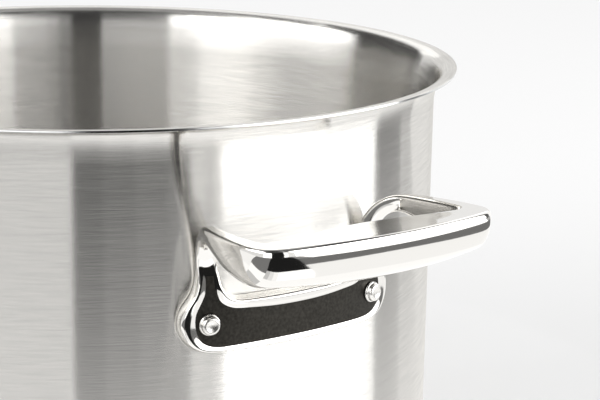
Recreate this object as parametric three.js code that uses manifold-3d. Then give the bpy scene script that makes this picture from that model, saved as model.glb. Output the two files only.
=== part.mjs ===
// Rondeau: a wide straight-sided cooking pot drawn from three-layer clad sheet,
// with a flared pouring rim and two cast loop handles, each held by two rivets.
// Millimetres, +Z up. The origin is the centre of the base, on the surface it stands on.
// The handles lie on +X and -X.
import * as THREE from 'three';
import { mergeVertices } from 'three/addons/utils/BufferGeometryUtils.js';
import Module from 'manifold-3d';

const wasm = await Module();
wasm.setup();

const radians = THREE.MathUtils.degToRad;

// Driving dimensions of the pot body
const POT_DIAMETER = 270; // straight wall, outside
const POT_HEIGHT = 152; // base to the top of the rim
const OUTER_PLY = 0.4; // stainless steel skin
const CORE_PLY = 1.4; // aluminium heat spreader
const INNER_PLY = 0.4; // stainless steel lining
const BASE_CORNER_RADIUS = 14; // base to wall, outside
const FLARE_RADIUS = 9.4; // pouring rim, outside
const FLARE_ANGLE = radians(75); // how far the rim turns away from the wall
const LIP_LENGTH = 0.75; // straight end of the rim before its rounded edge

// Driving dimensions of the handles
const RIVET_DROP = 67.5; // rim down to the rivet centres
const RIVET_SPACING = 67; // centre to centre, along the wall
const PLATE_THICKNESS = 3.2;
const PLATE_TOP = 8.1; // rivet centres up to the plate's top edge
const LOBE_RADIUS = 10.6; // round plate ends about the rivets
const BORDER_WIDTH = 3.2; // rounded border of the plate, across
const BORDER_DROP = 2.3; // rounded border of the plate, through its thickness
const NECK_WIDTH = 8.1;
const NECK_FILLET = 8; // sweep of the neck into the plate, towards the other neck
const NECK_OUTER_FILLET = 4; // the same sweep on the neck's outer side
const NECK_ROOT = 2.3; // how far the neck reaches down into the plate
const NECK_RELIEF = 0.25; // the neck's back stands clear of the plate's seat
const LOOP_DROP = 31; // rim down to the top of the loop at the bends
const LOOP_RISE = 0.047; // rise of the loop per unit of reach
const BEND_HEIGHT = 18; // height of the bend from wall to loop
const BEND_REACH = 10; // wall to where the bend ends
const BEND_SPAN = 82; // across the middles of the arms where the bends end
const LOOP_REACH = 55.3; // wall to the front of the grip
const LOOP_SPAN = 97.4; // across the outer edges of the arms
const GRIP_WIDTH = 20.7; // at the middle of the grip
const GRIP_END_WIDTH = 11.7; // where the grip meets its corners
const GRIP_DEPTH = 16; // at the middle of the grip
const CORNER_DEPTH = 13.5; // where the arms meet the corners
const ARM_WIDTH = 7.6; // where the arms meet the corners
const BEND_WIDTH = 4.9; // top of the arm where the bend ends
const BEND_DEPTH = 6.8;
const OUTER_CORNER_RADIUS = 10;
const INNER_CORNER_RADIUS = 3.6;
const EDGE_ROUND = 0.7; // top edges of the loop
const TOP_DISH = 0.4; // hollow of the loop's top face
const GRIP_END_EASE = 0.3; // share of the half grip over which its inner edge leaves the corner
const GRIP_MIDDLE_EASE = 0.4; // share of the half grip over which its inner edge runs level at the middle

// Driving dimensions of the rivets
const SHANK_DIAMETER = 3.2;
const OUTER_HEAD_DIAMETER = 7.2;
const OUTER_HEAD_TOP = 6; // diameter of the flat end
const OUTER_HEAD_HEIGHT = 2.8;
const DIMPLE_DIAMETER = 3.4;
const DIMPLE_DEPTH = 0.5;
const INNER_HEAD_DIAMETER = 12;
const INNER_HEAD_HEIGHT = 2.4;

// Clearances between pieces
const BOND_GAP = 0.03; // bond line between the layers of the body
const SEAT_GAP = 0.3; // plate to wall, and rivet heads to what they hold
const HOLE_GAP = 0.3; // rivet shank to its holes, on the radius

// Smoothness of the faceted solids
const POT_SEGMENTS = 48;
const RIVET_SEGMENTS = 16;
const ARC_DIVISIONS = 2;
const SECTION_POINTS = 8; // round underside of the loop's section
const NECK_STATIONS = 4;
const BEND_STATIONS = 6;
const ARM_STATIONS = 5;
const CORNER_STATIONS = 5;
const GRIP_STATIONS = 6;
const LOBE_FACETS = 6; // along a quarter turn of a lobe
const BAR_FACETS = 9; // along the plate between the rivets
const BORDER_FACETS = 2;
const WELD = 1e-4;

const wallRadius = POT_DIAMETER / 2;
const coreDepth = OUTER_PLY + BOND_GAP;
const liningDepth = coreDepth + CORE_PLY + BOND_GAP;
const wallThickness = liningDepth + INNER_PLY;
const lipRise = (FLARE_RADIUS + wallThickness) * Math.sin(FLARE_ANGLE) + LIP_LENGTH * Math.cos(FLARE_ANGLE);
const flareStart = POT_HEIGHT - lipRise;
const rivetHeight = POT_HEIGHT - RIVET_DROP;
const rivetAngle = RIVET_SPACING / 2 / wallRadius;
const seatRadius = wallRadius + SEAT_GAP;
const holeRadius = SHANK_DIAMETER / 2 + HOLE_GAP;

const handleSides = [
  { side: 'right', turn: 0 },
  { side: 'left', turn: Math.PI },
];
const rivetPlaces = [
  { place: 'front', angle: -rivetAngle },
  { place: 'back', angle: rivetAngle },
];

const brushedSteel = { color: 0xc4c3c0, roughness: 0.34, metalness: 1 };
const polishedSteel = { color: 0xd3d2cf, roughness: 0.08, metalness: 1 };
const aluminium = { color: 0xb9bbbd, roughness: 0.45, metalness: 1 };

// A closed solid from a geometry, its shared corners merged and its empty faces left out.
function solidOf(geometry) {
  const bare = geometry.clone();
  bare.deleteAttribute('normal');
  bare.deleteAttribute('uv');
  const welded = mergeVertices(bare, WELD);
  const corners = welded.getIndex().array;
  const triVerts = [];
  for (let i = 0; i < corners.length; i += 3) {
    const [a, b, c] = corners.slice(i, i + 3);
    if (a !== b && b !== c && c !== a) triVerts.push(a, b, c);
  }
  const vertProperties = new Float32Array(welded.getAttribute('position').array);
  const mesh = new wasm.Mesh({ numProp: 3, vertProperties, triVerts: new Uint32Array(triVerts) });
  return new wasm.Manifold(mesh);
}

function geometryOf(solid) {
  const { vertProperties, triVerts } = solid.getMesh();
  const geometry = new THREE.BufferGeometry();
  geometry.setAttribute('position', new THREE.BufferAttribute(vertProperties, 3));
  geometry.setIndex(new THREE.BufferAttribute(triVerts, 1));
  geometry.computeVertexNormals();
  return geometry;
}

function named(name, geometry, finish) {
  const mesh = new THREE.Mesh(geometry, new THREE.MeshStandardMaterial(finish));
  mesh.name = name;
  return mesh;
}

// Turned solid about +Z from a profile of (radius, height) points, given anticlockwise.
function turned(points, segments) {
  return new THREE.LatheGeometry(points, segments).rotateX(Math.PI / 2);
}

// Cutter for one rivet's hole, along the radius at the rivet's angle about the pot.
function rivetHole(angle) {
  const length = 2 * (wallThickness + PLATE_THICKNESS + OUTER_HEAD_HEIGHT);
  const hole = new THREE.CylinderGeometry(holeRadius, holeRadius, length, RIVET_SEGMENTS);
  hole.rotateZ(Math.PI / 2);
  hole.translate(wallRadius, 0, rivetHeight);
  hole.rotateZ(angle);
  return solidOf(hole);
}

// Point on the rounded end of the rim, at a depth below the outer surface.
function lipPoint(depth) {
  const half = wallThickness / 2;
  const round = Math.sqrt(Math.max(0, half * half - (depth - half) ** 2));
  const bend = FLARE_RADIUS + depth;
  const reach = LIP_LENGTH + round;
  return new THREE.Vector2(
    wallRadius + FLARE_RADIUS - bend * Math.cos(FLARE_ANGLE) + reach * Math.sin(FLARE_ANGLE),
    flareStart + bend * Math.sin(FLARE_ANGLE) + reach * Math.cos(FLARE_ANGLE),
  );
}

// Half-section of the body at a depth below its outer surface, from the axis to the lip.
function halfSection(depth) {
  const cornerCentre = wallRadius - BASE_CORNER_RADIUS;
  const lip = lipPoint(depth);
  const path = new THREE.Path();
  path.moveTo(0, depth);
  path.lineTo(cornerCentre, depth);
  path.absarc(cornerCentre, BASE_CORNER_RADIUS, BASE_CORNER_RADIUS - depth, -Math.PI / 2, 0, false);
  path.lineTo(wallRadius - depth, flareStart);
  const flareCentre = wallRadius + FLARE_RADIUS;
  path.absarc(flareCentre, flareStart, FLARE_RADIUS + depth, Math.PI, Math.PI - FLARE_ANGLE, true);
  path.lineTo(lip.x, lip.y);
  return path.getPoints(ARC_DIVISIONS);
}

// One layer of the clad body, between two depths below the outer surface.
function ply(shallow, deep) {
  const lipMiddle = lipPoint((shallow + deep) / 2);
  const profile = [...halfSection(shallow), lipMiddle, ...halfSection(deep).reverse()];
  let solid = solidOf(turned(profile, POT_SEGMENTS));
  for (const { turn } of handleSides) {
    for (const { angle } of rivetPlaces) solid = solid.subtract(rivetHole(turn + angle));
  }
  return geometryOf(solid);
}

// Point beside the wall: an arc length along it, a height, and a distance out from the seat.
function onWall(arc, height, out = 0) {
  const angle = arc / wallRadius;
  const radius = seatRadius + out;
  return new THREE.Vector3(radius * Math.cos(angle), radius * Math.sin(angle), height);
}

// Base plate of a handle: a bar with round lobes about the rivets and a rounded border,
// curved to the wall. Its rings run across the plate, from one lobe's end to the other's.
function basePlate() {
  const rivetArc = RIVET_SPACING / 2;
  const quarter = steps(LOBE_FACETS).map((t) => (t - 0.5 / LOBE_FACETS) * Math.PI / 2);
  const across = [
    ...quarter.map((turn) => ({ arc: -rivetArc, turn: Math.PI - turn })),
    ...steps(BAR_FACETS, 0).map((t) => ({ arc: rivetArc * (2 * t - 1), turn: Math.PI / 2 })),
    ...quarter.reverse().map((turn) => ({ arc: rivetArc, turn })),
  ];
  const border = steps(BORDER_FACETS, 0).map((t) => ({
    inset: BORDER_WIDTH * (1 - Math.cos(t * Math.PI / 2)),
    out: PLATE_THICKNESS - BORDER_DROP * (1 - Math.sin(t * Math.PI / 2)),
  }));
  const rim = [{ inset: 0, out: 0 }, ...border];
  const rings = across.map(({ arc, turn }) => {
    const spot = (side) => ({ inset, out }) => {
      const reach = LOBE_RADIUS - inset;
      const height = side * Math.min(reach * Math.sin(turn), side > 0 ? PLATE_TOP - inset : reach);
      return onWall(arc + reach * Math.cos(turn), rivetHeight + height, out);
    };
    return [...rim.map(spot(-1)), ...rim.map(spot(1)).reverse()];
  });
  return lofted(rings);
}

// Height of the loop's top face at a distance from the pot's axis.
function loopTop(reach) {
  const bendEnd = wallRadius + BEND_REACH;
  return POT_HEIGHT - LOOP_DROP + LOOP_RISE * (reach - bendEnd);
}

// Evenly spaced parameters from 0 to 1, without the first where two stretches share it.
function steps(count, first = 1) {
  return Array.from({ length: count + 1 - first }, (_, i) => (i + first) / count);
}

// Plan of one half of the loop: an outer and an inner edge, each an arm, a corner and half a grip.
function loopEdges() {
  const bendEnd = wallRadius + BEND_REACH;
  const front = wallRadius + LOOP_REACH;
  const armLine = LOOP_SPAN / 2;
  const cornerAt = (across) => Math.sqrt((front - OUTER_CORNER_RADIUS) ** 2 - across ** 2);
  const outerCentre = new THREE.Vector2(0, armLine - OUTER_CORNER_RADIUS);
  outerCentre.x = cornerAt(outerCentre.y);
  const turn = Math.atan2(outerCentre.y, outerCentre.x);
  const outerBend = new THREE.Vector2(bendEnd, BEND_SPAN / 2 + BEND_WIDTH / 2);
  const outerArm = new THREE.QuadraticBezierCurve(
    outerBend,
    new THREE.Vector2((bendEnd + outerCentre.x) / 2, armLine),
    new THREE.Vector2(outerCentre.x, armLine),
  );
  const outerCorner = new THREE.EllipseCurve(
    outerCentre.x, outerCentre.y, OUTER_CORNER_RADIUS, OUTER_CORNER_RADIUS, Math.PI / 2, turn, true,
  );
  const outerGrip = new THREE.EllipseCurve(0, 0, front, front, turn, 0, true);

  const gripBack = front - GRIP_WIDTH;
  const armBack = armLine - ARM_WIDTH;
  const gripEnd = outerGrip.getPoint(0).x - GRIP_END_WIDTH;
  const innerCentre = new THREE.Vector2(gripEnd - INNER_CORNER_RADIUS, armBack - INNER_CORNER_RADIUS);
  const innerArm = new THREE.QuadraticBezierCurve(
    new THREE.Vector2(bendEnd, BEND_SPAN / 2 - BEND_WIDTH / 2),
    new THREE.Vector2((bendEnd + innerCentre.x) / 2, armBack),
    new THREE.Vector2(innerCentre.x, armBack),
  );
  const innerCorner = new THREE.EllipseCurve(
    innerCentre.x, innerCentre.y, INNER_CORNER_RADIUS, INNER_CORNER_RADIUS, Math.PI / 2, 0, true,
  );
  const innerGrip = new THREE.CubicBezierCurve(
    new THREE.Vector2(gripEnd, innerCentre.y),
    new THREE.Vector2(gripEnd, innerCentre.y * (1 - GRIP_END_EASE)),
    new THREE.Vector2(gripBack, innerCentre.y * GRIP_MIDDLE_EASE),
    new THREE.Vector2(gripBack, 0),
  );
  return {
    arm: [innerArm, outerArm],
    corner: [innerCorner, outerCorner],
    grip: [innerGrip, outerGrip],
  };
}

// Stations along one half of the loop, from its root in the plate to the middle of the grip.
// Each has its width and depth, and places a point by its share of the width and its drop below the top.
function loopStations() {
  const neckArc = RIVET_SPACING / 2;
  const inner = neckArc - NECK_WIDTH / 2;
  const outer = neckArc + NECK_WIDTH / 2;
  const plateTop = rivetHeight + PLATE_TOP;
  const neckTop = POT_HEIGHT - LOOP_DROP - BEND_HEIGHT;
  const neckDepth = PLATE_THICKNESS - 2 * NECK_RELIEF;
  const stations = [];

  const sweep = (edge, spread) => new THREE.QuadraticBezierCurve(
    new THREE.Vector2(edge + spread, plateTop - NECK_ROOT),
    new THREE.Vector2(edge, plateTop - NECK_ROOT),
    new THREE.Vector2(edge, plateTop + NECK_FILLET),
  );
  const innerSweep = sweep(inner, -NECK_FILLET);
  const outerSweep = sweep(outer, NECK_OUTER_FILLET);
  for (const t of steps(NECK_STATIONS, 0)) {
    const from = innerSweep.getPoint(t);
    const to = outerSweep.getPoint(t);
    const at = (share, drop) => {
      const spot = from.clone().lerp(to, share);
      return onWall(spot.x, spot.y, NECK_RELIEF + drop);
    };
    stations.push({ width: from.distanceTo(to), depth: neckDepth, dish: 0, at });
  }

  const flatStation = (from, to, up, depth, dish) => {
    const at = (share, drop) => from.clone().lerp(to, share).addScaledVector(up, -drop);
    stations.push({ width: from.distanceTo(to), depth, dish, at });
  };
  const edges = loopEdges();
  const [innerEnd, outerEnd] = edges.arm.map((curve) => curve.getPoint(0));
  const bendTop = loopTop(wallRadius + BEND_REACH);
  const innerStart = onWall(inner, neckTop, NECK_RELIEF);
  const outerStart = onWall(outer, neckTop, NECK_RELIEF);
  const heading = new THREE.Vector3(
    innerEnd.x + outerEnd.x - innerStart.x - outerStart.x,
    innerEnd.y + outerEnd.y - innerStart.y - outerStart.y,
    0,
  ).normalize();
  for (const t of steps(BEND_STATIONS, 0)) {
    const turn = t * Math.PI / 2;
    const along = 1 - Math.cos(turn);
    const height = THREE.MathUtils.lerp(neckTop, bendTop, Math.sin(turn));
    const bent = (start, end) => new THREE.Vector3(
      THREE.MathUtils.lerp(start.x, end.x, along),
      THREE.MathUtils.lerp(start.y, end.y, along),
      height,
    );
    const up = heading.clone().multiplyScalar(-Math.cos(turn)).setZ(Math.sin(turn));
    const depth = THREE.MathUtils.lerp(neckDepth, BEND_DEPTH, along);
    flatStation(bent(innerStart, innerEnd), bent(outerStart, outerEnd), up, depth, 0);
  }

  const level = new THREE.Vector3(-LOOP_RISE, 0, 1).normalize();
  const raised = (point) => new THREE.Vector3(point.x, point.y, loopTop(point.x));
  const stretches = [
    { curves: edges.arm, count: ARM_STATIONS, depths: [BEND_DEPTH, CORNER_DEPTH], dishes: [0, 0] },
    { curves: edges.corner, count: CORNER_STATIONS, depths: [CORNER_DEPTH, CORNER_DEPTH], dishes: [0, 0] },
    { curves: edges.grip, count: GRIP_STATIONS, depths: [CORNER_DEPTH, GRIP_DEPTH], dishes: [0, TOP_DISH] },
  ];
  for (const { curves, count, depths, dishes } of stretches) {
    for (const t of steps(count)) {
      const [from, to] = curves.map((curve) => raised(curve.getPoint(t)));
      const grown = Math.sin(t * Math.PI / 2);
      const depth = THREE.MathUtils.lerp(...depths, grown);
      const dish = THREE.MathUtils.lerp(...dishes, grown);
      flatStation(from, to, level, depth, dish);
    }
  }
  return stations;
}

// Closed section of the loop at a station: a flat or slightly hollow top over a boat-shaped underside.
function loopSection({ width, depth, dish, at }) {
  const edge = EDGE_ROUND / width;
  const ring = [at(edge, 0), at(0.5, dish), at(1 - edge, 0)];
  for (let i = 0; i <= SECTION_POINTS; i += 1) {
    const turn = Math.PI * i / SECTION_POINTS;
    ring.push(at((1 + Math.cos(turn)) / 2, EDGE_ROUND + (depth - EDGE_ROUND) * Math.sin(turn)));
  }
  return ring;
}

// Skin over a row of equal rings, closed at both ends.
function lofted(rings) {
  const count = rings[0].length;
  const index = [];
  for (let r = 0; r + 1 < rings.length; r += 1) {
    for (let i = 0; i < count; i += 1) {
      const a = r * count + i;
      const b = r * count + (i + 1) % count;
      index.push(a, a + count, b, b, a + count, b + count);
    }
  }
  const last = (rings.length - 1) * count;
  for (let i = 1; i + 1 < count; i += 1) {
    index.push(0, i, i + 1);
    index.push(last, last + i + 1, last + i);
  }
  const geometry = new THREE.BufferGeometry().setFromPoints(rings.flat());
  geometry.setIndex(index);
  return geometry;
}

// Cast handle: the loop joined to its base plate, with a hole for each rivet.
function handle() {
  const half = loopStations().map(loopSection);
  const mirrored = (point) => new THREE.Vector3(point.x, -point.y, point.z);
  const other = half.slice(0, -1).reverse().map((ring) => ring.map(mirrored));
  let solid = solidOf(lofted([...half, ...other])).add(solidOf(basePlate()));
  for (const { angle } of rivetPlaces) solid = solid.subtract(rivetHole(angle));
  return geometryOf(solid);
}

// Rivet along the radius: a domed head inside the pot, a shank, and a dimpled head on the plate.
function rivet() {
  const innerHead = INNER_HEAD_DIAMETER / 2;
  const facetRadius = (wallRadius - wallThickness) * Math.cos(Math.PI / POT_SEGMENTS);
  const innerSeat = Math.sqrt(facetRadius ** 2 - innerHead ** 2) - SEAT_GAP;
  const outerSeat = seatRadius + PLATE_THICKNESS + SEAT_GAP;
  const outerTop = outerSeat + OUTER_HEAD_HEIGHT;
  const shank = SHANK_DIAMETER / 2;
  const top = OUTER_HEAD_TOP / 2;
  const path = new THREE.Path();
  path.moveTo(0, innerSeat - INNER_HEAD_HEIGHT);
  path.absellipse(0, innerSeat, innerHead, INNER_HEAD_HEIGHT, -Math.PI / 2, 0, false);
  path.lineTo(shank, innerSeat);
  path.lineTo(shank, outerSeat);
  path.lineTo(OUTER_HEAD_DIAMETER / 2, outerSeat);
  path.quadraticCurveTo(OUTER_HEAD_DIAMETER / 2, outerTop, top, outerTop);
  path.lineTo(DIMPLE_DIAMETER / 2, outerTop);
  path.lineTo(0, outerTop - DIMPLE_DEPTH);
  const geometry = new THREE.LatheGeometry(path.getPoints(ARC_DIVISIONS), RIVET_SEGMENTS);
  return geometryOf(solidOf(geometry.rotateZ(-Math.PI / 2)));
}

const rondeau = new THREE.Group();
rondeau.name = 'rondeau';
rondeau.add(named('outer_ply', ply(0, OUTER_PLY), brushedSteel));
rondeau.add(named('core_ply', ply(coreDepth, coreDepth + CORE_PLY), aluminium));
rondeau.add(named('inner_ply', ply(liningDepth, wallThickness), brushedSteel));

for (const { side, turn } of handleSides) {
  const group = new THREE.Group();
  group.rotation.z = turn;
  group.add(named(`handle_${side}`, handle(), polishedSteel));
  for (const { place, angle } of rivetPlaces) {
    const piece = named(`rivet_${side}_${place}`, rivet(), polishedSteel);
    piece.position.z = rivetHeight;
    piece.rotation.z = angle;
    group.add(piece);
  }
  rondeau.add(group);
}

export default rondeau;
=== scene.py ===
from math import atan2, cos, pi, radians, sin, sqrt, tan

import bmesh
import bpy
from mathutils import Matrix, Vector


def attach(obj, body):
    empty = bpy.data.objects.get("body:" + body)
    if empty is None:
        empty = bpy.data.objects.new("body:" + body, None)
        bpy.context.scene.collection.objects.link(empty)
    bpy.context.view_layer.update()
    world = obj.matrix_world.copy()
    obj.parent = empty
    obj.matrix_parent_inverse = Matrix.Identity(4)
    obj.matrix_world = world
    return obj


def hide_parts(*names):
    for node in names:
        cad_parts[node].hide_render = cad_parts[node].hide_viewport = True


# Rondeau: a wide clad-steel cooking pot with a flared rim and two riveted cast loop handles.
# Metres in the scene, millimetres in the sizes below.
MM = 0.001
MERGE_DISTANCE = 1e-6
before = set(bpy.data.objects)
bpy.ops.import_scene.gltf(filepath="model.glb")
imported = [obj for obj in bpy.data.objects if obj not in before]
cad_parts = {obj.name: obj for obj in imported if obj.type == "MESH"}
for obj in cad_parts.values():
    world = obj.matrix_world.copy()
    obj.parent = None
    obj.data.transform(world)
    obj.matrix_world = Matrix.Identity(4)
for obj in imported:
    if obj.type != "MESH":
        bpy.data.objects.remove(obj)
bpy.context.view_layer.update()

# Pot body
POT_RADIUS = 135.0
POT_HEIGHT = 152.0
BASE_CORNER = 14.0
# Pouring rim, sizes of its inside: a long sweep in which the sheet thins, a tighter turn and a nearly
# level lip
SWEEP_RADIUS = 34.0
SWEEP_ANGLE = radians(28)
TURN_RADIUS = 5.0
LIP_ANGLE = radians(85)
LIP_LENGTH = 2.27
LIP_EDGE = 1.0
EDGE_SQUARENESS = 4
# Each layer of the sheet, from and to a depth below the pot's outside
OUTER_PLY = (0.0, 0.4)
CORE_PLY = (0.43, 1.83)
INNER_PLY = (1.86, 2.26)
WALL = INNER_PLY[1]
# Steps round the pot and along the parts of its profile
POT_STEPS = 192
CORNER_STEPS = 16
SWEEP_STEPS = 16
TURN_STEPS = 14
EDGE_STEPS = 6
# The flare is buffed smoother than the wall, from the first height to the second
RIM_FROM = 143.0
RIM_TO = 148.0

# Handles: plate and necks
SEAT_RADIUS = 135.3
RIVET_HEIGHT = 84.5
RIVET_ARC = 33.5
PLATE_TOP = 92.6
PLATE_FOOT = 73.9
PLATE_THICK = 4.4
PLATE_SIDE = 0.9
PLATE_EDGE = 0.5
LOBE_RADIUS = 10.6
NECK_WIDTH = 8.1
NECK_TOP = 103.0
NECK_FILLET = 8.0
# The rolled border: shares of its width and of its height, how far its crest stands above the flat, and
# a narrow strip that keeps the flat's edge sharp
ROLL = ((0.07, 0.6), (0.22, 0.93), (0.42, 1.0))
CREST = 0.7
FLAT_EASE = 0.5
# Rings across the plate's bar: arc lengths at its top and foot, with the widths of both borders
BAR_RINGS = ((0, 0), (4.5, 6.5), (9, 14), (13, 22), (16.5, 29))
BAR_BORDERS = (4.6, 2.6)
LOBE_START = 19.2
LOBE_START_TURN = -90
LOBE_START_BORDERS = (4.6, 2.9)
# Rings across a lobe: degrees round the neck's fillet and round the rivet, with the widths of both borders
LOBE_RINGS = (
    (-90, -66, (4.6, 3.6)), (-80, -42, (4.6, 5.0)), (-69, -18, (4.6, 6.4)),
    (-57, 6, (4.4, 7.0)), (-44, 30, (3.6, 6.6)), (-30, 54, (3.0, 5.0)),
)
# Two rings up the neck, over which the crest fades
NECK_FOOT_TURN = -15
NECK_FOOT_RISE = 4.5
NECK_FOOT_SPREAD = 0.4
NECK_FOOT_BORDERS = (2.7, 3.2)
NECK_FOOT_CREST = CREST * 0.6
NECK_END_DROP = 1.5
NECK_END_BORDERS = (2.6, 2.8)
NECK_END_CREST = CREST * 0.2
# Places round a ring where the plate's flat meets its border, and how many rings keep that edge sharp
FLAT_EDGES = (9, 13)
CREASED_RINGS = 14
CREASE_FADE = 3

# Handles: bends, arms and grip
BEND_END = 145.0
BEND_HALF_SPAN = 41.0
BEND_WIDTH = 4.9
BEND_DEPTH = 6.8
BEND_TOP = 121.0
BEND_BORDERS = (2.6, 2.6)
LOOP_RISE = 0.047
LOOP_FRONT = 190.3
LOOP_EDGE = 0.85
ARM_LINE = 48.7
ARM_WIDTH = 7.6
GRIP_WIDTH = 20.7
GRIP_END_WIDTH = 11.7
GRIP_DEPTH = 16.0
CORNER_DEPTH = 13.5
OUTER_CORNER = 10.0
INNER_CORNER = 3.6
TOP_DISH = 0.4
# The boat-shaped section: how far it swells past its top edge, how far down it is widest, both as shares
# of its depth, and the share of the swell that is left half way there
BULGE = 0.016
BULGE_DROP = 0.24
BULGE_REST = 0.25
HULL_STEPS = 8
# Support lines beside the edges of the back (or top) face, in edge radii
EDGE_SUPPORT = 2.5
# Shares of the inner corner's offset where the finger gap's edge leaves the arm and reaches the grip
GRIP_EASE = (0.7, 0.4)
# Where the rings stand: degrees round a bend, and shares of an arm, a corner and half the grip
BEND_RINGS = (8, 24, 40, 56, 72, 88)
ARM_RINGS = (0.2, 0.4, 0.6, 0.8, 0.97)
CORNER_RINGS = (0.2, 0.4, 0.6, 0.8)
GRIP_RINGS = (0.03, 0.2, 0.4, 0.6, 0.8, 1.0)
CAST_SMOOTHING = 2

# Rivets: radius and height over the seat, for the domed head inside and the collared, dimpled head outside
RIVET_STEPS = 48
INNER_SEAT_GAP = 0.4
SHANK_RADIUS = 1.6
INNER_HEAD = ((0.0, -2.4), (2.0, -2.25), (4.0, -1.7), (5.3, -0.8), (5.8, -0.2), (5.6, 0.0))
OUTER_HEAD = (
    (3.6, 0.1), (3.75, 0.3), (3.7, 0.7), (3.5, 0.95), (3.3, 1.05), (3.2, 1.3), (3.15, 1.9), (2.95, 2.4),
    (2.6, 2.65), (2.2, 2.7), (1.8, 2.62), (1.4, 2.46), (0.7, 2.36), (0.0, 2.34),
)

# Edges sharper than these are drawn as edges
SHEET_SMOOTH_ANGLE = radians(35)
RIVET_SMOOTH_ANGLE = radians(40)
CAST_SMOOTH_ANGLE = pi


def linear(colour):
    """An sRGB hex colour as linear RGBA."""
    channels = [int(colour[i : i + 2], 16) / 255 for i in (1, 3, 5)]
    return tuple(c / 12.92 if c <= 0.04045 else ((c + 0.055) / 1.055) ** 2.4 for c in channels) + (1.0,)


def shaded(colour, share):
    """A share of an sRGB hex colour as linear RGBA."""
    return tuple(c * share for c in linear(colour)[:3]) + (1.0,)


def add(tree, kind, inputs=None, **settings):
    """A node with its settings; an input takes a value or another node's output."""
    made = tree.nodes.new(kind)
    for name, value in settings.items():
        setattr(made, name, value)
    for socket, value in (inputs or {}).items():
        if isinstance(value, bpy.types.NodeSocket):
            tree.links.new(value, made.inputs[socket])
        else:
            made.inputs[socket].default_value = value
    return made


def new_material(name):
    """An empty material and its node tree."""
    material = bpy.data.materials.new(name)
    material.use_nodes = True
    material.node_tree.nodes.clear()
    return material, material.node_tree


# Materials
WHITE = (1, 1, 1, 1)
# Nearly all values of a noise lie between these
NOISE_LOW = 0.3
NOISE_HIGH = 0.7
# Sockets of a Mix node: the factor, and A and B for plain values and for colours
MIX_FACTOR, MIX_A, MIX_B, MIX_COLOUR_A, MIX_COLOUR_B = 0, 2, 3, 6, 7
MIX_COLOUR = 2

# Brushing, in runs per metre along X and Y and across the grooves. Fine grooves are drawn 0.48 mm apart and
# 14 mm long, and bands of them 4 mm apart and 110 mm long: real grooves are finer and would not show.
FINE_GROOVES = (70.0, 70.0, 2100.0)
GROOVE_BANDS = (9.0, 9.0, 250.0)
BAND_SHARE = 0.25
GROOVE_SHADE = 0.86
GROOVE_UNEVENNESS = 0.02
GROOVE_HEIGHT = 0.06
BRUSH_ANISOTROPY = 0.86


def brushed_stainless(name, colour, roughness, rim_roughness, line_depth):
    """Stainless sheet, brushed round the pot: grooves along the rim's direction smear each reflection up and
    down, and leave fine level lines of lighter and darker grey."""
    material, tree = new_material(name)
    place = add(tree, "ShaderNodeTexCoord").outputs["Object"]
    apart = add(tree, "ShaderNodeSeparateXYZ", {0: place})
    x, y, height = apart.outputs
    flat = add(tree, "ShaderNodeCombineXYZ", {0: x, 1: y})
    radius = add(tree, "ShaderNodeVectorMath", {0: flat.outputs[0]}, operation="LENGTH").outputs["Value"]
    across = add(tree, "ShaderNodeMath", {0: height, 1: radius}, operation="ADD").outputs[0]
    lines = add(tree, "ShaderNodeCombineXYZ", {0: x, 1: y, 2: across}).outputs[0]
    stretched = add(tree, "ShaderNodeMapping", {0: lines, "Scale": FINE_GROOVES})
    fine = add(tree, "ShaderNodeTexNoise", {0: stretched.outputs[0], "Scale": 1.0, "Detail": 1.0})
    wide = add(tree, "ShaderNodeMapping", {0: lines, "Scale": GROOVE_BANDS})
    soft = add(tree, "ShaderNodeTexNoise", {0: wide.outputs[0], "Scale": 1.0, "Detail": 2.0})
    both = add(tree, "ShaderNodeMix", {
        MIX_FACTOR: BAND_SHARE, MIX_A: fine.outputs["Fac"], MIX_B: soft.outputs["Fac"],
    }).outputs[0]
    shade = add(tree, "ShaderNodeMapRange", {
        "Value": both, "From Min": NOISE_LOW, "From Max": NOISE_HIGH, "To Min": 0.0, "To Max": 1.0,
    })
    tint = add(tree, "ShaderNodeMix", {
        MIX_FACTOR: shade.outputs[0], MIX_COLOUR_A: shaded(colour, GROOVE_SHADE), MIX_COLOUR_B: linear(colour),
    }, data_type="RGBA")
    rim = add(tree, "ShaderNodeMapRange", {
        "Value": height, "From Min": RIM_FROM * MM, "From Max": RIM_TO * MM,
        "To Min": roughness, "To Max": rim_roughness,
    })
    uneven = add(tree, "ShaderNodeMapRange", {
        "Value": both, "From Min": NOISE_LOW, "From Max": NOISE_HIGH,
        "To Min": -GROOVE_UNEVENNESS, "To Max": GROOVE_UNEVENNESS,
    })
    rough = add(tree, "ShaderNodeMath", {0: rim.outputs[0], 1: uneven.outputs[0]}, operation="ADD")
    bump = add(tree, "ShaderNodeBump", {"Strength": line_depth, "Distance": GROOVE_HEIGHT * MM, "Height": both})
    tangent = add(tree, "ShaderNodeTangent", direction_type="RADIAL", axis="Z")
    steel = add(tree, "ShaderNodeBsdfAnisotropic", {
        "Color": tint.outputs[MIX_COLOUR], "Roughness": rough.outputs[0], "Anisotropy": BRUSH_ANISOTROPY,
        "Normal": bump.outputs[0], "Tangent": tangent.outputs[0],
    })
    add(tree, "ShaderNodeOutputMaterial", {0: steel.outputs[0]})
    return material


# Buffing leaves low waves about 12 mm across and hair lines about 0.4 mm apart, in runs per metre.
BUFFED_WAVES = 80.0
BUFFED_HAIR = 2500.0
WAVE_HEIGHT = 0.05
HAIR_ROUGHNESS = (0.8, 1.2)


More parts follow.
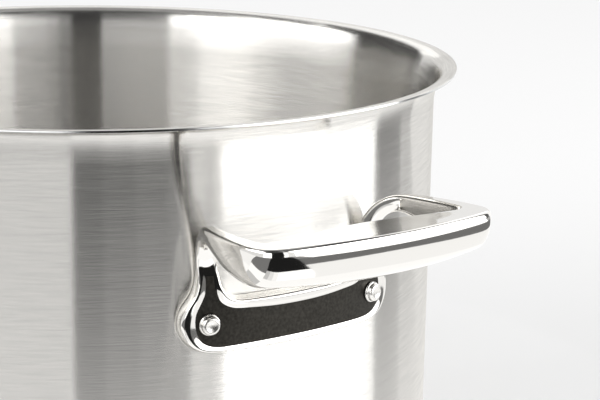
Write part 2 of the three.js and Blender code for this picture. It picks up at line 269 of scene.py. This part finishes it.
def polished_stainless(name, colour, roughness, waviness):
    """Cast stainless, ground and buffed: a near mirror with the faint unevenness of hand polishing."""
    material, tree = new_material(name)
    place = add(tree, "ShaderNodeTexCoord").outputs["Object"]
    waves = add(tree, "ShaderNodeTexNoise", {0: place, "Scale": BUFFED_WAVES, "Detail": 1.0})
    hair = add(tree, "ShaderNodeTexNoise", {0: place, "Scale": BUFFED_HAIR, "Detail": 2.0})
    rough = add(tree, "ShaderNodeMapRange", {
        "Value": hair.outputs["Fac"], "From Min": NOISE_LOW, "From Max": NOISE_HIGH,
        "To Min": roughness * HAIR_ROUGHNESS[0], "To Max": roughness * HAIR_ROUGHNESS[1],
    })
    bump = add(tree, "ShaderNodeBump", {
        "Strength": waviness, "Distance": WAVE_HEIGHT * MM, "Height": waves.outputs["Fac"],
    })
    steel = add(tree, "ShaderNodeBsdfPrincipled", {
        "Base Color": linear(colour), "Metallic": 1.0, "Roughness": rough.outputs[0],
        "Normal": bump.outputs[0],
    })
    add(tree, "ShaderNodeOutputMaterial", {0: steel.outputs[0]})
    return material


# Rolled grain about 0.7 mm across, in runs per metre
ROLLED_GRAIN = 1500.0
ROLLED_ROUGHNESS = (0.14, 0.22)


def plain_aluminium(name, colour):
    """Rolled aluminium, bare: a little bluer than the steel on either side, its trimmed edge buffed with the
    rim."""
    material, tree = new_material(name)
    place = add(tree, "ShaderNodeTexCoord").outputs["Object"]
    grain = add(tree, "ShaderNodeTexNoise", {0: place, "Scale": ROLLED_GRAIN, "Detail": 2.0})
    rough = add(tree, "ShaderNodeMapRange", {
        "Value": grain.outputs["Fac"], "From Min": NOISE_LOW, "From Max": NOISE_HIGH,
        "To Min": ROLLED_ROUGHNESS[0], "To Max": ROLLED_ROUGHNESS[1],
    })
    metal = add(tree, "ShaderNodeBsdfPrincipled", {
        "Base Color": linear(colour), "Metallic": 1.0, "Roughness": rough.outputs[0],
    })
    add(tree, "ShaderNodeOutputMaterial", {0: metal.outputs[0]})
    return material


# A fine tooth about 0.3 mm on the dark flat, drawn at 1 mm so that it shows, in runs per metre.
DARK_FLAT_TOOTH = 1000.0
TOOTH_SHADE = 0.6
TOOTH_ROUGHNESS = (0.9, 1.1)


def painted_dark_stainless(name, colour, roughness):
    """Satin stainless coloured dark grey as a painted reflection: the dark stands in for the dark surroundings
    that the polished flat mirrors. It takes no clear reflection, and a fine tooth breaks up its sheen.
    """
    material, tree = new_material(name)
    place = add(tree, "ShaderNodeTexCoord").outputs["Object"]
    tooth = add(tree, "ShaderNodeTexNoise", {0: place, "Scale": DARK_FLAT_TOOTH, "Detail": 3.0})
    shade = add(tree, "ShaderNodeMapRange", {
        "Value": tooth.outputs["Fac"], "From Min": NOISE_LOW, "From Max": NOISE_HIGH,
        "To Min": 0.0, "To Max": 1.0,
    })
    tint = add(tree, "ShaderNodeMix", {
        MIX_FACTOR: shade.outputs[0], MIX_COLOUR_A: shaded(colour, TOOTH_SHADE), MIX_COLOUR_B: linear(colour),
    }, data_type="RGBA")
    rough = add(tree, "ShaderNodeMapRange", {
        "Value": tooth.outputs["Fac"], "From Min": NOISE_LOW, "From Max": NOISE_HIGH,
        "To Min": roughness * TOOTH_ROUGHNESS[0], "To Max": roughness * TOOTH_ROUGHNESS[1],
    })
    steel = add(tree, "ShaderNodeBsdfPrincipled", {
        "Base Color": tint.outputs[MIX_COLOUR], "Metallic": 1.0, "Roughness": rough.outputs[0],
    })
    add(tree, "ShaderNodeOutputMaterial", {0: steel.outputs[0]})
    return material


outside_steel = brushed_stainless(
    "stainless_brushed_outside", "#e2e0dc", roughness=0.24, rim_roughness=0.13, line_depth=1.0
)
lining_steel = brushed_stainless(
    "stainless_brushed_lining", "#e2e0dc", roughness=0.24, rim_roughness=0.13, line_depth=0.3
)
handle_steel = polished_stainless("stainless_polished_casting", "#e6e4e0", roughness=0.06, waviness=0.15)
# Painted reflection: the plate's flat is coloured dark grey in place of the dark surroundings it mirrors.
painted_dark_flat_steel = painted_dark_stainless("stainless_painted_dark_flat", "#403e3a", roughness=0.34)
rivet_steel = polished_stainless("stainless_polished_rivet", "#e6e4e0", roughness=0.26, waviness=0.05)
core_aluminium = plain_aluminium("aluminium_rolled_core", "#d3d3d2")


# Mesh helpers
def finished(name, bm, material, replaced, smooth_angle):
    """The bmesh as a piece that rides on the pot and stands for a CAD node."""
    for face in bm.faces:
        face.smooth = True
    for edge in bm.edges:
        edge.smooth = edge.calc_face_angle(0.0) < smooth_angle
    mesh = bpy.data.meshes.new(name)
    bm.to_mesh(mesh)
    bm.free()
    mesh.materials.append(material)
    piece = bpy.data.objects.new(name, mesh)
    bpy.context.scene.collection.objects.link(piece)
    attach(piece, "root")
    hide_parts(replaced)
    return piece


def line_to(bm, vert, x, z):
    """Draws on from a profile's last vertex, straight to a point; millimetres in the XZ plane."""
    made = bmesh.ops.extrude_vert_indiv(bm, verts=[vert])["verts"][0]
    made.co = Vector((x, 0, z)) * MM
    return made


def arc(bm, vert, x, z, angle, steps):
    """Draws on round a centre; a positive angle turns anticlockwise, seen with X right and Z up."""
    spun = bmesh.ops.spin(
        bm, geom=[vert], cent=Vector((x, 0, z)) * MM, axis=(0, -1, 0), angle=angle, steps=steps,
        dvec=(0, 0, 0),
    )
    return [g for g in spun["geom_last"] if isinstance(g, bmesh.types.BMVert)][0]


def turned_about_z(bm, steps):
    """Turns a profile into a closed solid."""
    bmesh.ops.spin(
        bm, geom=bm.verts[:] + bm.edges[:], cent=(0, 0, 0), axis=(0, 0, 1), angle=2 * pi, steps=steps,
        dvec=(0, 0, 0), use_merge=True,
    )
    bmesh.ops.remove_doubles(bm, verts=bm.verts[:], dist=MERGE_DISTANCE)
    bmesh.ops.recalc_face_normals(bm, faces=bm.faces[:])


# Pot body
sweep_out = SWEEP_RADIUS * (1 - cos(SWEEP_ANGLE))
turn_start = Vector((-cos(SWEEP_ANGLE), sin(SWEEP_ANGLE)))
lip_along = Vector((sin(LIP_ANGLE), cos(LIP_ANGLE)))
lip_up = Vector((-cos(LIP_ANGLE), sin(LIP_ANGLE)))
turn_centre = Vector((
    POT_RADIUS - WALL + sweep_out + TURN_RADIUS * cos(SWEEP_ANGLE),
    POT_HEIGHT - TURN_RADIUS * sin(LIP_ANGLE) - LIP_LENGTH * cos(LIP_ANGLE),
))
turn_angle = LIP_ANGLE - SWEEP_ANGLE
corner_centre = POT_RADIUS - BASE_CORNER


def rim_radius(depth):
    """The turn's radius at a depth below the wall's outer surface; the rim is thinner than the wall."""
    return TURN_RADIUS - LIP_EDGE * (1 - depth / WALL)


def sweep_from_wall(depth):
    """Centre of the sweep that leads from the wall into the turn, at a depth below the wall's outer surface."""
    end = turn_centre + rim_radius(depth) * turn_start
    radius = (end.x - POT_RADIUS + depth) / (1 - cos(SWEEP_ANGLE))
    return end - radius * turn_start


def lip_point(depth):
    """A point on the trimmed edge of the lip, square with rounded corners."""
    aside = abs(1 - 2 * depth / WALL)
    bow = LIP_EDGE / 2 * (1 - aside**EDGE_SQUARENESS) ** (1 / EDGE_SQUARENESS)
    return turn_centre + rim_radius(depth) * lip_up + (LIP_LENGTH + bow) * lip_along


def body_layer(name, depths, material, replaced):
    """One layer of the clad sheet: base, corner, wall and flared rim, out and back."""
    shallow, deep = depths
    bm = bmesh.new()
    vert = bm.verts.new(Vector((0, 0, shallow)) * MM)
    vert = line_to(bm, vert, corner_centre, shallow)
    vert = arc(bm, vert, corner_centre, BASE_CORNER, pi / 2, CORNER_STEPS)
    centre = sweep_from_wall(shallow)
    vert = line_to(bm, vert, POT_RADIUS - shallow, centre.y)
    vert = arc(bm, vert, *centre, -SWEEP_ANGLE, SWEEP_STEPS)
    vert = arc(bm, vert, *turn_centre, -turn_angle, TURN_STEPS)
    for step in range(EDGE_STEPS + 1):
        vert = line_to(bm, vert, *lip_point(shallow + (deep - shallow) * step / EDGE_STEPS))
    vert = line_to(bm, vert, *(turn_centre + rim_radius(deep) * lip_up))
    vert = arc(bm, vert, *turn_centre, turn_angle, TURN_STEPS)
    vert = arc(bm, vert, *sweep_from_wall(deep), SWEEP_ANGLE, SWEEP_STEPS)
    vert = line_to(bm, vert, POT_RADIUS - deep, BASE_CORNER)
    vert = arc(bm, vert, corner_centre, BASE_CORNER, -pi / 2, CORNER_STEPS)
    line_to(bm, vert, 0, deep)
    turned_about_z(bm, POT_STEPS)
    finished(name, bm, material, replaced, SHEET_SMOOTH_ANGLE)


body_layer("pot_outer_skin", OUTER_PLY, outside_steel, "outer_ply")
body_layer("pot_core", CORE_PLY, core_aluminium, "core_ply")
body_layer("pot_lining", INNER_PLY, lining_steel, "inner_ply")


# Handles
def on_wall(arc_length, height, out):
    """A point beside the wall, from an arc length along it."""
    angle = arc_length / POT_RADIUS
    return Vector(((SEAT_RADIUS + out) * cos(angle), (SEAT_RADIUS + out) * sin(angle), height))


def section(place, width, depth, borders, boat, crest, dish=0.0):
    """One ring of the handle. boat is 0 for a flat plate with rounded borders and 1 for a boat-shaped grip.
    place takes a distance from the inner edge and a drop from the back (or top) face."""
    inner_border, outer_border = borders
    edge = PLATE_EDGE + (LOOP_EDGE - PLATE_EDGE) * boat
    support = EDGE_SUPPORT * edge
    back = [(edge, 0), (support, 0), (width / 2, dish), (width - support, 0), (width - edge, 0)]

    def roll(border):
        """The rounded border, from the plate's side over its crest and down to the flat."""
        over = [(border * across, (depth + crest) * rise) for across, rise in ROLL]
        return [(0, PLATE_SIDE), *over, (border, depth), (border + FLAT_EASE, depth)]

    plate = [(width - inset, drop) for inset, drop in roll(outer_border)]
    plate.append(((width - outer_border + inner_border) / 2, depth))
    plate += reversed(roll(inner_border))
    widest = BULGE_DROP * depth
    shoulder = [(BULGE * depth, edge), (BULGE * depth * BULGE_REST, (edge + widest) / 2)]
    hull = [(width - inset, drop) for inset, drop in shoulder]
    for turn in (pi * step / HULL_STEPS for step in range(HULL_STEPS + 1)):
        hull.append((width / 2 * (1 + cos(turn)), widest + (depth - widest) * sin(turn)))
    hull += reversed(shoulder)
    front = [(p[0] + (h[0] - p[0]) * boat, p[1] + (h[1] - p[1]) * boat) for p, h in zip(plate, hull)]
    return [place(offset, drop) for offset, drop in back + front]


def plate_ring(inner, outer, borders, crest=CREST):
    """A ring across the plate or a neck, between two points given by arc length and height."""
    inner, outer = Vector(inner), Vector(outer)
    width = (outer - inner).length

    def place(offset, drop):
        spot = inner.lerp(outer, offset / width)
        return on_wall(spot.x, spot.y, drop)

    return section(place, width, PLATE_THICK, borders, 0.0, crest)


def loop_ring(inner, outer, up, depth, boat=1.0, dish=0.0):
    """A ring across a bend, an arm or the grip, between two points in space."""
    width = (outer - inner).length

    def place(offset, drop):
        return inner.lerp(outer, offset / width) - up * drop

    return section(place, width, depth, BEND_BORDERS, boat, 0.0, dish)


def bezier(points, t):
    """A point on a Bezier curve."""
    points = [Vector(p) for p in points]
    while len(points) > 1:
        points = [a.lerp(b, t) for a, b in zip(points, points[1:])]
    return points[0]


def on_circle(centre, radius, angle):
    """A point on a circle in the plane."""
    return Vector((centre[0] + radius * cos(angle), centre[1] + radius * sin(angle)))


neck_inner = RIVET_ARC - NECK_WIDTH / 2
neck_outer = RIVET_ARC + NECK_WIDTH / 2


def plate_rings():
    """Rings from the middle of the plate along its bar, round a lobe and up a neck."""
    fillet = (neck_inner - NECK_FILLET, PLATE_TOP + NECK_FILLET)
    rivet_place = (RIVET_ARC, RIVET_HEIGHT)
    rings = [plate_ring((top, PLATE_TOP), (foot, PLATE_FOOT), BAR_BORDERS) for top, foot in BAR_RINGS]
    lobe_start = on_circle(rivet_place, LOBE_RADIUS, radians(LOBE_START_TURN))
    rings.append(plate_ring((LOBE_START, PLATE_TOP), lobe_start, LOBE_START_BORDERS))
    for fillet_turn, lobe_turn, borders in LOBE_RINGS:
        inner = on_circle(fillet, NECK_FILLET, radians(fillet_turn))
        outer = on_circle(rivet_place, LOBE_RADIUS, radians(lobe_turn))
        rings.append(plate_ring(inner, outer, borders))
    inner = on_circle(fillet, NECK_FILLET, radians(NECK_FOOT_TURN))
    outer = (neck_outer + NECK_FOOT_SPREAD, PLATE_TOP + NECK_FOOT_RISE)
    rings.append(plate_ring(inner, outer, NECK_FOOT_BORDERS, NECK_FOOT_CREST))
    inner = (neck_inner, PLATE_TOP + NECK_FILLET)
    outer = (neck_outer, NECK_TOP - NECK_END_DROP)
    rings.append(plate_ring(inner, outer, NECK_END_BORDERS, NECK_END_CREST))
    return rings


def bend_rings():
    """Rings out through a bend, from the top of a neck to the start of an arm."""
    start_inner = on_wall(neck_inner, NECK_TOP, 0)
    start_outer = on_wall(neck_outer, NECK_TOP, 0)
    end_inner = Vector((BEND_END, BEND_HALF_SPAN - BEND_WIDTH / 2, BEND_TOP))
    end_outer = Vector((BEND_END, BEND_HALF_SPAN + BEND_WIDTH / 2, BEND_TOP))
    heading = end_inner + end_outer - start_inner - start_outer
    heading.z = 0
    heading.normalize()
    rings = []
    for turn in (radians(a) for a in BEND_RINGS):
        along = 1 - cos(turn)
        up = heading * -cos(turn) + Vector((0, 0, sin(turn)))
        ends = [a.lerp(b, along) for a, b in ((start_inner, end_inner), (start_outer, end_outer))]
        for end in ends:
            end.z = NECK_TOP + (BEND_TOP - NECK_TOP) * sin(turn)
        depth = PLATE_THICK + (BEND_DEPTH - PLATE_THICK) * along
        rings.append(loop_ring(*ends, up, depth, boat=sin(turn) ** 2))
    return rings


def loop_rings():
    """Rings along an arm, round its corner and along half of the grip."""
    outer_centre = Vector((0, ARM_LINE - OUTER_CORNER))
    outer_centre.x = sqrt((LOOP_FRONT - OUTER_CORNER) ** 2 - outer_centre.y**2)
    grip_turn = atan2(outer_centre.y, outer_centre.x)
    arm_back = ARM_LINE - ARM_WIDTH
    grip_end = LOOP_FRONT * cos(grip_turn) - GRIP_END_WIDTH
    inner_centre = Vector((grip_end - INNER_CORNER, arm_back - INNER_CORNER))
    outer_arm = (
        (BEND_END, BEND_HALF_SPAN + BEND_WIDTH / 2), ((BEND_END + outer_centre.x) / 2, ARM_LINE),
        (outer_centre.x, ARM_LINE),
    )
    inner_arm = (
        (BEND_END, BEND_HALF_SPAN - BEND_WIDTH / 2), ((BEND_END + inner_centre.x) / 2, arm_back),
        (inner_centre.x, arm_back),
    )
    grip_back = LOOP_FRONT - GRIP_WIDTH
    inner_grip = (
        (grip_end, inner_centre.y), (grip_end, inner_centre.y * GRIP_EASE[0]),
        (grip_back, inner_centre.y * GRIP_EASE[1]), (grip_back, 0),
    )
    level = Vector((-LOOP_RISE, 0, 1)).normalized()

    def raised(point):
        return Vector((point.x, point.y, BEND_TOP + LOOP_RISE * (point.x - BEND_END)))

    rings = []
    for t in ARM_RINGS:
        depth = BEND_DEPTH + (CORNER_DEPTH - BEND_DEPTH) * sin(t * pi / 2)
        rings.append(loop_ring(raised(bezier(inner_arm, t)), raised(bezier(outer_arm, t)), level, depth))
    for t in CORNER_RINGS:
        inner = on_circle(inner_centre, INNER_CORNER, pi / 2 * (1 - t))
        outer = on_circle(outer_centre, OUTER_CORNER, pi / 2 + (grip_turn - pi / 2) * t)
        rings.append(loop_ring(raised(inner), raised(outer), level, CORNER_DEPTH))
    for t in GRIP_RINGS:
        inner = bezier(inner_grip, t)
        outer = on_circle((0, 0), LOOP_FRONT, grip_turn * (1 - t))
        grown = sin(t * pi / 2)
        depth = CORNER_DEPTH + (GRIP_DEPTH - CORNER_DEPTH) * grown
        rings.append(loop_ring(raised(inner), raised(outer), level, depth, dish=TOP_DISH * grown))
    return rings


def loop_handle(name, turn, replaced):
    """The cast handle: rings bridged into half a closed band, mirrored, and smoothed as a whole."""
    bm = bmesh.new()
    crease = bm.edges.layers.float.new("crease_edge")
    rings, loops = [], []
    for ring in plate_rings() + bend_rings() + loop_rings():
        verts = [bm.verts.new(point * MM) for point in ring]
        rings.append(verts)
        loops.append([bm.edges.new(pair) for pair in zip(verts, verts[1:] + verts[:1])])
    for first, second in zip(loops, loops[1:]):
        bmesh.ops.bridge_loops(bm, edges=first + second)
    for number in range(CREASED_RINGS):
        along = list(zip(rings[number], rings[number + 1]))
        for place in FLAT_EDGES:
            bm.edges.get(along[place])[crease] = min(1.0, (CREASED_RINGS - number) / CREASE_FADE)
        # The flat takes the dark steel that paints in its reflection of dark surroundings, up to the ring where
        # its edge fades out.
        if number < CREASED_RINGS - 1:
            for place in range(FLAT_EDGES[0] + 1, FLAT_EDGES[1]):
                for face in bm.edges.get(along[place]).link_faces:
                    face.material_index = 1
    whole = bm.verts[:] + bm.edges[:] + bm.faces[:]
    bmesh.ops.mirror(bm, geom=whole, axis="Y", merge_dist=MERGE_DISTANCE)
    bmesh.ops.remove_doubles(bm, verts=bm.verts[:], dist=MERGE_DISTANCE)
    bmesh.ops.recalc_face_normals(bm, faces=bm.faces[:])
    bmesh.ops.rotate(bm, verts=bm.verts[:], cent=(0, 0, 0), matrix=Matrix.Rotation(turn, 3, "Z"))
    piece = finished(name, bm, handle_steel, replaced, CAST_SMOOTH_ANGLE)
    piece.data.materials.append(painted_dark_flat_steel)
    smooth = piece.modifiers.new("cast_form", "SUBSURF")
    smooth.levels = smooth.render_levels = CAST_SMOOTHING


loop_handle("loop_handle_right", 0.0, "handle_right")
loop_handle("loop_handle_left", pi, "handle_left")


# Rivets
def rivet(name, turn, replaced):
    """A rivet along the wall's radius: domed head inside, shank, and a collared, dimpled head on the plate."""
    inner_seat = POT_RADIUS - WALL - INNER_SEAT_GAP
    outer_seat = SEAT_RADIUS + PLATE_THICK
    profile = [(radius, inner_seat + rise) for radius, rise in INNER_HEAD]
    profile += [(SHANK_RADIUS, inner_seat), (SHANK_RADIUS, outer_seat + OUTER_HEAD[0][1])]
    profile += [(radius, outer_seat + rise) for radius, rise in OUTER_HEAD]
    bm = bmesh.new()
    vert = bm.verts.new(Vector((profile[0][0], 0, profile[0][1])) * MM)
    for radius, height in profile[1:]:
        vert = line_to(bm, vert, radius, height)
    turned_about_z(bm, RIVET_STEPS)
    bmesh.ops.rotate(bm, verts=bm.verts[:], cent=(0, 0, 0), matrix=Matrix.Rotation(pi / 2, 3, "Y"))
    bmesh.ops.rotate(bm, verts=bm.verts[:], cent=(0, 0, 0), matrix=Matrix.Rotation(turn, 3, "Z"))
    bmesh.ops.translate(bm, verts=bm.verts[:], vec=(0, 0, RIVET_HEIGHT * MM))
    finished(name, bm, rivet_steel, replaced, RIVET_SMOOTH_ANGLE)


rivet_turn = RIVET_ARC / POT_RADIUS
for side, side_turn in (("right", 0.0), ("left", pi)):
    for place_name, place_turn in (("front", -rivet_turn), ("back", rivet_turn)):
        rivet(f"handle_rivet_{side}_{place_name}", side_turn + place_turn, f"rivet_{side}_{place_name}")


# Camera, at the photo's angle
CAMERA_AZIMUTH = radians(-30.3)
CAMERA_ELEVATION = radians(9.49)
CAMERA_DISTANCE = 0.7106
CAMERA_TARGET = Vector((0, 0, 0.1514))
CAMERA_YAW = radians(6.85)
CAMERA_PITCH = radians(-13.965)
CAMERA_ROLL = radians(1.07)
CAMERA_LENS = 108.0
CAMERA_NEAR = 0.01

toward = Vector((-cos(CAMERA_AZIMUTH), -sin(CAMERA_AZIMUTH), 0))
sideways = toward.cross(Vector((0, 0, 1)))
away = toward * -cos(CAMERA_ELEVATION) + Vector((0, 0, sin(CAMERA_ELEVATION)))
forward = sideways * sin(CAMERA_YAW) + toward * cos(CAMERA_YAW)
forward = forward * cos(CAMERA_PITCH) + Vector((0, 0, sin(CAMERA_PITCH)))
level_right = sideways * cos(CAMERA_YAW) - toward * sin(CAMERA_YAW)
level_up = level_right.cross(forward)
right = level_right * cos(CAMERA_ROLL) + level_up * sin(CAMERA_ROLL)
upward = level_up * cos(CAMERA_ROLL) - level_right * sin(CAMERA_ROLL)
camera = bpy.data.objects.new("camera", bpy.data.cameras.new("camera"))
camera.data.lens = CAMERA_LENS
camera.data.clip_start = CAMERA_NEAR
camera_turn = Matrix((right, upward, -forward)).transposed().to_4x4()
camera.matrix_world = Matrix.Translation(CAMERA_TARGET + away * CAMERA_DISTANCE) @ camera_turn
bpy.context.scene.collection.objects.link(camera)
bpy.context.scene.camera = camera


# Studio: a pale floor, white surroundings, soft boxes, and brighter and darker screens that the steel
# mirrors. Azimuths are in degrees to the right of the camera, lengths in metres, and brightness 1 is white.
SECTOR_STEPS = 24


def studio_side(azimuth):
    """The level direction from the pot towards an azimuth."""
    return toward * -cos(radians(azimuth)) + sideways * sin(radians(azimuth))


def upright(azimuths, distance, low, high):
    """Where an upright screen stands that covers two azimuths, seen from the pot, and its width and height."""
    middle = studio_side(sum(azimuths) / 2)
    width = 2 * distance * tan(radians(azimuths[1] - azimuths[0]) / 2)
    turned = (-middle).to_track_quat("-Z", "Y").to_matrix().to_4x4()
    place = middle * distance + Vector((0, 0, (low + high) / 2))
    return Matrix.Translation(place) @ turned, width, high - low


def soft_box(name, azimuths, distance, low, high, brightness, mirrored=False):
    """An area lamp of even brightness; it lights the floor, or is only mirrored in the steel."""
    matrix, width, height = upright(azimuths, distance, low, high)
    lamp = bpy.data.lights.new(name, "AREA")
    lamp.shape = "RECTANGLE"
    lamp.size, lamp.size_y = width, height
    lamp.energy = brightness * pi * width * height
    box = bpy.data.objects.new(name, lamp)
    box.matrix_world = matrix
    box.visible_camera = False
    box.visible_diffuse = not mirrored
    box.visible_glossy = mirrored
    bpy.context.scene.collection.objects.link(box)


def mirrored_only(name, bm, brightness):
    """A screen that shows in the steel and nowhere else."""
    material, tree = new_material(name)
    glow = add(tree, "ShaderNodeEmission", {"Color": WHITE, "Strength": brightness})
    add(tree, "ShaderNodeOutputMaterial", {0: glow.outputs[0]})
    mesh = bpy.data.meshes.new(name)
    bm.to_mesh(mesh)
    bm.free()
    mesh.materials.append(material)
    screen = bpy.data.objects.new(name, mesh)
    screen.visible_camera = False
    screen.visible_shadow = False
    screen.visible_diffuse = False
    bpy.context.scene.collection.objects.link(screen)


def card(name, azimuths, distance, low, high, brightness):
    """An upright card that the steel mirrors."""
    matrix, width, height = upright(azimuths, distance, low, high)
    bm = bmesh.new()
    bmesh.ops.create_grid(bm, x_segments=1, y_segments=1, size=0.5)
    bmesh.ops.scale(bm, verts=bm.verts[:], vec=(width, height, 1))
    bmesh.ops.transform(bm, verts=bm.verts[:], matrix=matrix)
    mirrored_only(name, bm, brightness)


def level_sector(name, azimuths, inner, outer, height, brightness):
    """A level sector about the pot's axis that the steel mirrors."""
    bm = bmesh.new()
    start = studio_side(azimuths[0])
    verts = [bm.verts.new(start * radius + Vector((0, 0, height))) for radius in (inner, outer)]
    edge = bm.edges.new(verts)
    bmesh.ops.spin(
        bm, geom=verts + [edge], cent=(0, 0, 0), axis=(0, 0, 1), angle=radians(azimuths[1] - azimuths[0]),
        steps=SECTOR_STEPS, dvec=(0, 0, 0),
    )
    mirrored_only(name, bm, brightness)


# Lamps for the floor: name, azimuths, distance, low, high, brightness
for row in (
    ("soft_box_right", (41, 97), 1.4, 0.02, 1.6, 1.0),
    ("soft_box_left", (-116, -33), 1.4, 0.6, 1.6, 1.0),
):
    soft_box(*row)

# Narrow lamps over the near rim, brighter to the right, mirrored mainly in the inside of the far wall
INSIDE_LEVELS = (0.65, 1.2, 1.55, 1.7, 1.9, 2.3, 3.0)
INSIDE_FROM = 10
INSIDE_STEP = 7
INSIDE_DISTANCE = 0.12
INSIDE_LOW = 0.158
INSIDE_HIGH = 0.33
for step, brightness in enumerate(INSIDE_LEVELS):
    azimuths = (INSIDE_FROM + INSIDE_STEP * step, INSIDE_FROM + INSIDE_STEP * (step + 1))
    name = f"inside_light_{step + 1}"
    soft_box(name, azimuths, INSIDE_DISTANCE, INSIDE_LOW, INSIDE_HIGH, brightness, mirrored=True)

# Upright cards: name, azimuths, distance, low, high, brightness
for row in (
    ("bright_card_right", (39, 98), 1.25, 0.0, 1.1, 4.4),
    ("dark_card_right_high", (38, 98), 1.25, 1.1, 1.6, 0.06),
    ("white_card_front_right", (29, 34), 1.24, 0.0, 0.77, 1.5),
    ("pale_card_right", (34, 39), 1.24, 0.0, 0.77, 1.0),
    ("grey_card_right", (98, 113), 1.3, 0.0, 1.6, 0.12),
    ("pale_card_right_back", (113, 140), 1.3, 0.0, 1.6, 1.2),
    ("bright_card_left", (-116, -33), 1.28, 0.6, 1.6, 3.6),
    ("white_card_left", (-68, -45), 1.25, 0.6, 1.6, 5.0),
    ("pale_card_left", (-117, -32), 1.3, 0.0, 0.6, 0.9),
    ("pale_card_front_left", (-33, -5), 1.25, 0.0, 0.77, 1.9),
    ("dark_card_front", (-5, 30), 1.25, 0.0, 0.8, 0.015),
    ("dark_card_front_high", (-33, 38), 1.22, 0.77, 1.6, 0.06),
    ("dark_card_back", (200, 244), 1.3, 0.0, 0.6, 0.06),
    ("bright_card_back", (140, 200), 1.36, 0.5, 1.2, 1.5),
    ("grey_card_left_back", (-165, -116), 1.3, 0.6, 1.6, 0.08),
):
    card(*row)

# Sectors just over the floor and over the pot: name, azimuths, inner and outer radius, height, brightness
FLOOR_LEVEL = 0.001
CEILING = 1.62
CEILING_MIDDLE = 1.61
CEILING_INNER = 0.0005
level_sector("dark_floor_front", (-5, 36), 0.34, 1.25, FLOOR_LEVEL, 0.015)
FRONT_LEVELS = (0.7, 0.98, 1.2, 1.45, 1.6)
FRONT_FROM = -5
FRONT_STEP = 8.2
for step, brightness in enumerate(FRONT_LEVELS):
    azimuths = (FRONT_FROM + FRONT_STEP * step, FRONT_FROM + FRONT_STEP * (step + 1))
    level_sector(f"pale_floor_front_{step + 1}", azimuths, 0.24, 0.34, FLOOR_LEVEL, brightness)
for row in (
    ("grey_floor_left", (-60, -5), 0.3, 1.25, FLOOR_LEVEL, 0.22),
    ("white_floor_left", (-60, -5), 0.2, 0.3, FLOOR_LEVEL, 1.3),
    ("grey_floor_between", (36, 40), 0.6, 1.25, FLOOR_LEVEL, 0.35),
    ("dark_floor_right", (36, 118), 0.405, 0.6, FLOOR_LEVEL, 0.2),
    ("bright_floor_right", (40, 97), 0.6, 1.25, FLOOR_LEVEL, 1.9),
    ("grey_floor_far_right", (97, 118), 0.6, 1.3, FLOOR_LEVEL, 0.5),
    ("white_floor_near", (-5, 300), 0.05, 0.24, FLOOR_LEVEL, 1.25),
    ("white_floor_near_left", (-60, -5), 0.05, 0.2, FLOOR_LEVEL, 0.7),
    ("bright_ceiling_left", (-116, -80), CEILING_INNER, 1.25, CEILING, 1.8),
    ("grey_ceiling_middle", (80, 280), CEILING_INNER, 0.8, CEILING_MIDDLE, 0.5),
    ("dark_ceiling", (-80, 244), CEILING_INNER, 1.25, CEILING, 0.06),
):
    level_sector(*row)

# White surroundings: plain white to the camera, and a pale room to the steel and the floor
world = bpy.data.worlds.new("studio")
world.use_nodes = True
bpy.context.scene.world = world
tree = world.node_tree
tree.nodes.clear()
rays = add(tree, "ShaderNodeLightPath")
seen = add(tree, "ShaderNodeBackground", {"Color": WHITE, "Strength": 1.0})
room = add(tree, "ShaderNodeBackground", {"Color": linear("#fafafa"), "Strength": 1.0})
both = add(tree, "ShaderNodeMixShader", {
    0: rays.outputs["Is Camera Ray"], 1: room.outputs[0], 2: seen.outputs[0],
})
add(tree, "ShaderNodeOutputWorld", {0: both.outputs[0]})

# Floor: matt board whose camera-seen glow is a painted light gradient that fades to white behind the pot, so
# that it meets the surroundings without a line
FLOOR_HALF_WIDTH = 6.0
FLOOR_ROUGHNESS = 0.9
FLOOR_MIRRORED = 1.15
FLOOR_WHITENING = 0.5
# Painted shade: the board's glow is made a little greyer at the near right, standing in for the fall-off of
# light furthest from the lamps. It goes from grey to white between two distances beyond the pot's axis,
# measured on a slant to the left.
FADE_SLANT = 0.35
FADE_FROM, FADE_TO = -0.3, 0.4
PAINTED_FALLOFF_GREY, PAINTED_FALLOFF_WHITE = 0.7, 1.0
bm = bmesh.new()
bmesh.ops.create_grid(bm, x_segments=1, y_segments=1, size=FLOOR_HALF_WIDTH)
mesh = bpy.data.meshes.new("floor")
bm.to_mesh(mesh)
bm.free()
floor_material, tree = new_material("matt_white_board")
board = add(tree, "ShaderNodeBsdfPrincipled", {"Base Color": linear("#ececec"), "Roughness": FLOOR_ROUGHNESS})
rays = add(tree, "ShaderNodeLightPath")
glow = add(tree, "ShaderNodeEmission", {"Color": WHITE, "Strength": FLOOR_MIRRORED})
place = add(tree, "ShaderNodeTexCoord").outputs["Object"]
beyond = add(tree, "ShaderNodeVectorMath", {
    0: place, 1: toward - sideways * FADE_SLANT,
}, operation="DOT_PRODUCT")
level = add(tree, "ShaderNodeMapRange", {
    "Value": beyond.outputs["Value"], "From Min": FADE_FROM, "From Max": FADE_TO,
    "To Min": PAINTED_FALLOFF_GREY, "To Max": PAINTED_FALLOFF_WHITE,
}, interpolation_type="SMOOTHSTEP")
# Painted shade: the strength of this glow is the painted fall-off of light, set by position on the floor.
pale = add(tree, "ShaderNodeEmission", {"Color": WHITE, "Strength": level.outputs[0]})
half = add(tree, "ShaderNodeMath", {0: rays.outputs["Is Camera Ray"], 1: FLOOR_WHITENING}, operation="MULTIPLY")
whitened = add(tree, "ShaderNodeMixShader", {0: half.outputs[0], 1: board.outputs[0], 2: pale.outputs[0]})
mirrored = add(tree, "ShaderNodeMixShader", {
    0: rays.outputs["Is Glossy Ray"], 1: whitened.outputs[0], 2: glow.outputs[0],
})
add(tree, "ShaderNodeOutputMaterial", {0: mirrored.outputs[0]})
mesh.materials.append(floor_material)
floor = bpy.data.objects.new("floor", mesh)
bpy.context.scene.collection.objects.link(floor)

bpy.context.scene.view_settings.view_transform = "Standard"
